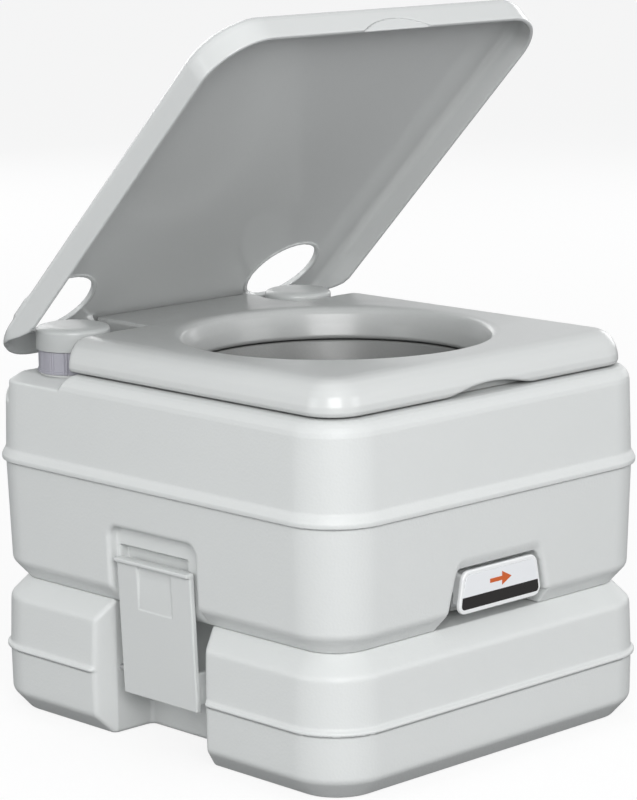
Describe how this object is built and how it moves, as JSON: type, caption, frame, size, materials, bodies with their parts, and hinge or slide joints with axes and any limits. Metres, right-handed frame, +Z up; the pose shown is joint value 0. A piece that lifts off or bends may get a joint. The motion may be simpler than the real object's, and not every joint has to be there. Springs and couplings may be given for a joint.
{
  "type": "portable flush toilet",
  "caption": "Portable flush toilet in two latched tanks: bowl, bellows pump, filler, seat and lid on the upper tank, pull-out slide valve and emptying spout on the lower tank.",
  "frame": {"origin": "centre of the footprint, on the ground under the waste tank", "axes": "+Z up, -Y is the front with the valve handle, +Y the rear with the lid hinge, -X the left side seen from behind the seat"},
  "size_m": [0.365, 0.415, 0.5692],
  "materials": {
    "tank_plastic": "fine satin texture, light warm grey polyethylene",
    "seat_plastic": "semi-gloss light grey",
    "lid_plastic": "semi-gloss light grey",
    "collar_plastic": "satin lavender grey",
    "cap_plastic": "semi-gloss light grey",
    "latch_plastic": "satin light grey",
    "handle_plastic": "semi-gloss white",
    "badge_print": "satin black",
    "bowl_plastic": "gloss white-grey",
    "inner_plastic": "satin natural grey",
    "hose_plastic": "soft milky grey",
    "seal_rubber": "matt black",
    "steel": "satin stainless steel"
  },
  "bodies": {
    "tank": {"waste_tank_shell": "tank_plastic", "valve_housing": "inner_plastic", "valve_lip_seal": "seal_rubber", "valve_screws": "steel", "latch_pins": "steel", "flush_tank_shell": "tank_plastic", "bowl": "bowl_plastic", "bowl_outlet_seal": "seal_rubber", "rinse_nozzle": "inner_plastic", "delivery_hose": "hose_plastic", "hose_clips": "steel", "pump_body": "inner_plastic", "pump_collar": "collar_plastic", "pump_bellows": "seal_rubber", "pump_valve_discs": "seal_rubber", "pickup_tube": "hose_plastic", "pickup_strainer": "inner_plastic", "filler_neck": "inner_plastic", "hinge_bracket": "inner_plastic", "hinge_pin": "steel", "hinge_screws": "steel"},
    "valve": {"valve_blade": "inner_plastic", "valve_handle": "handle_plastic", "handle_badge": "badge_print", "handle_screws": "steel"},
    "spout_cap": {"drain_cap": "collar_plastic", "drain_cap_gasket": "seal_rubber"},
    "left_latch": {"latch_left": "latch_plastic"},
    "right_latch": {"latch_right": "latch_plastic"},
    "pump_head": {"pump_button": "cap_plastic"},
    "filler_cap": {"filler_cap_ring": "collar_plastic", "filler_cap_cover": "cap_plastic", "filler_gasket": "seal_rubber"},
    "seat_body": {"seat": "seat_plastic", "seat_bumpers": "seal_rubber"},
    "lid_body": {"lid": "lid_plastic"}
  },
  "joints": [
    {"name": "lid_hinge", "type": "hinge", "parent": "tank", "child": "lid_body", "pos_m": [0, 0.1677, 0.3], "axis": [-1, 0, 0], "range_deg": [-45, 55]},
    {"name": "seat_hinge", "type": "hinge", "parent": "tank", "child": "seat_body", "pos_m": [0, 0.1677, 0.3], "axis": [-1, 0, 0], "range_deg": [0, 43]},
    {"name": "pump_press", "type": "slide", "parent": "tank", "child": "pump_head", "axis": [0, 0, -1], "range_m": [0, 0.012], "stiffness_N_per_m": 500, "deforming": ["pump_bellows"]},
    {"name": "valve_pull", "type": "slide", "parent": "tank", "child": "valve", "axis": [0, -1, 0], "range_m": [0, 0.1]},
    {"name": "latch_left_swing", "type": "hinge", "parent": "tank", "child": "left_latch", "pos_m": [-0.158, 0, 0.054], "axis": [0, -1, 0], "range_deg": [0, 60]},
    {"name": "latch_right_swing", "type": "hinge", "parent": "tank", "child": "right_latch", "pos_m": [0.158, 0, 0.054], "axis": [0, 1, 0], "range_deg": [0, 60]},
    {"name": "filler_cap_turn", "type": "hinge", "parent": "tank", "child": "filler_cap", "pos_m": [0.112, 0.1365, 0.29], "axis": [0, 0, 1], "range_deg": [0, 90]},
    {"name": "spout_cap_turn", "type": "hinge", "parent": "tank", "child": "spout_cap", "pos_m": [-0.075, 0.18, 0.058], "axis": [0, 1, 0], "range_deg": [0, 90]}
  ]
}
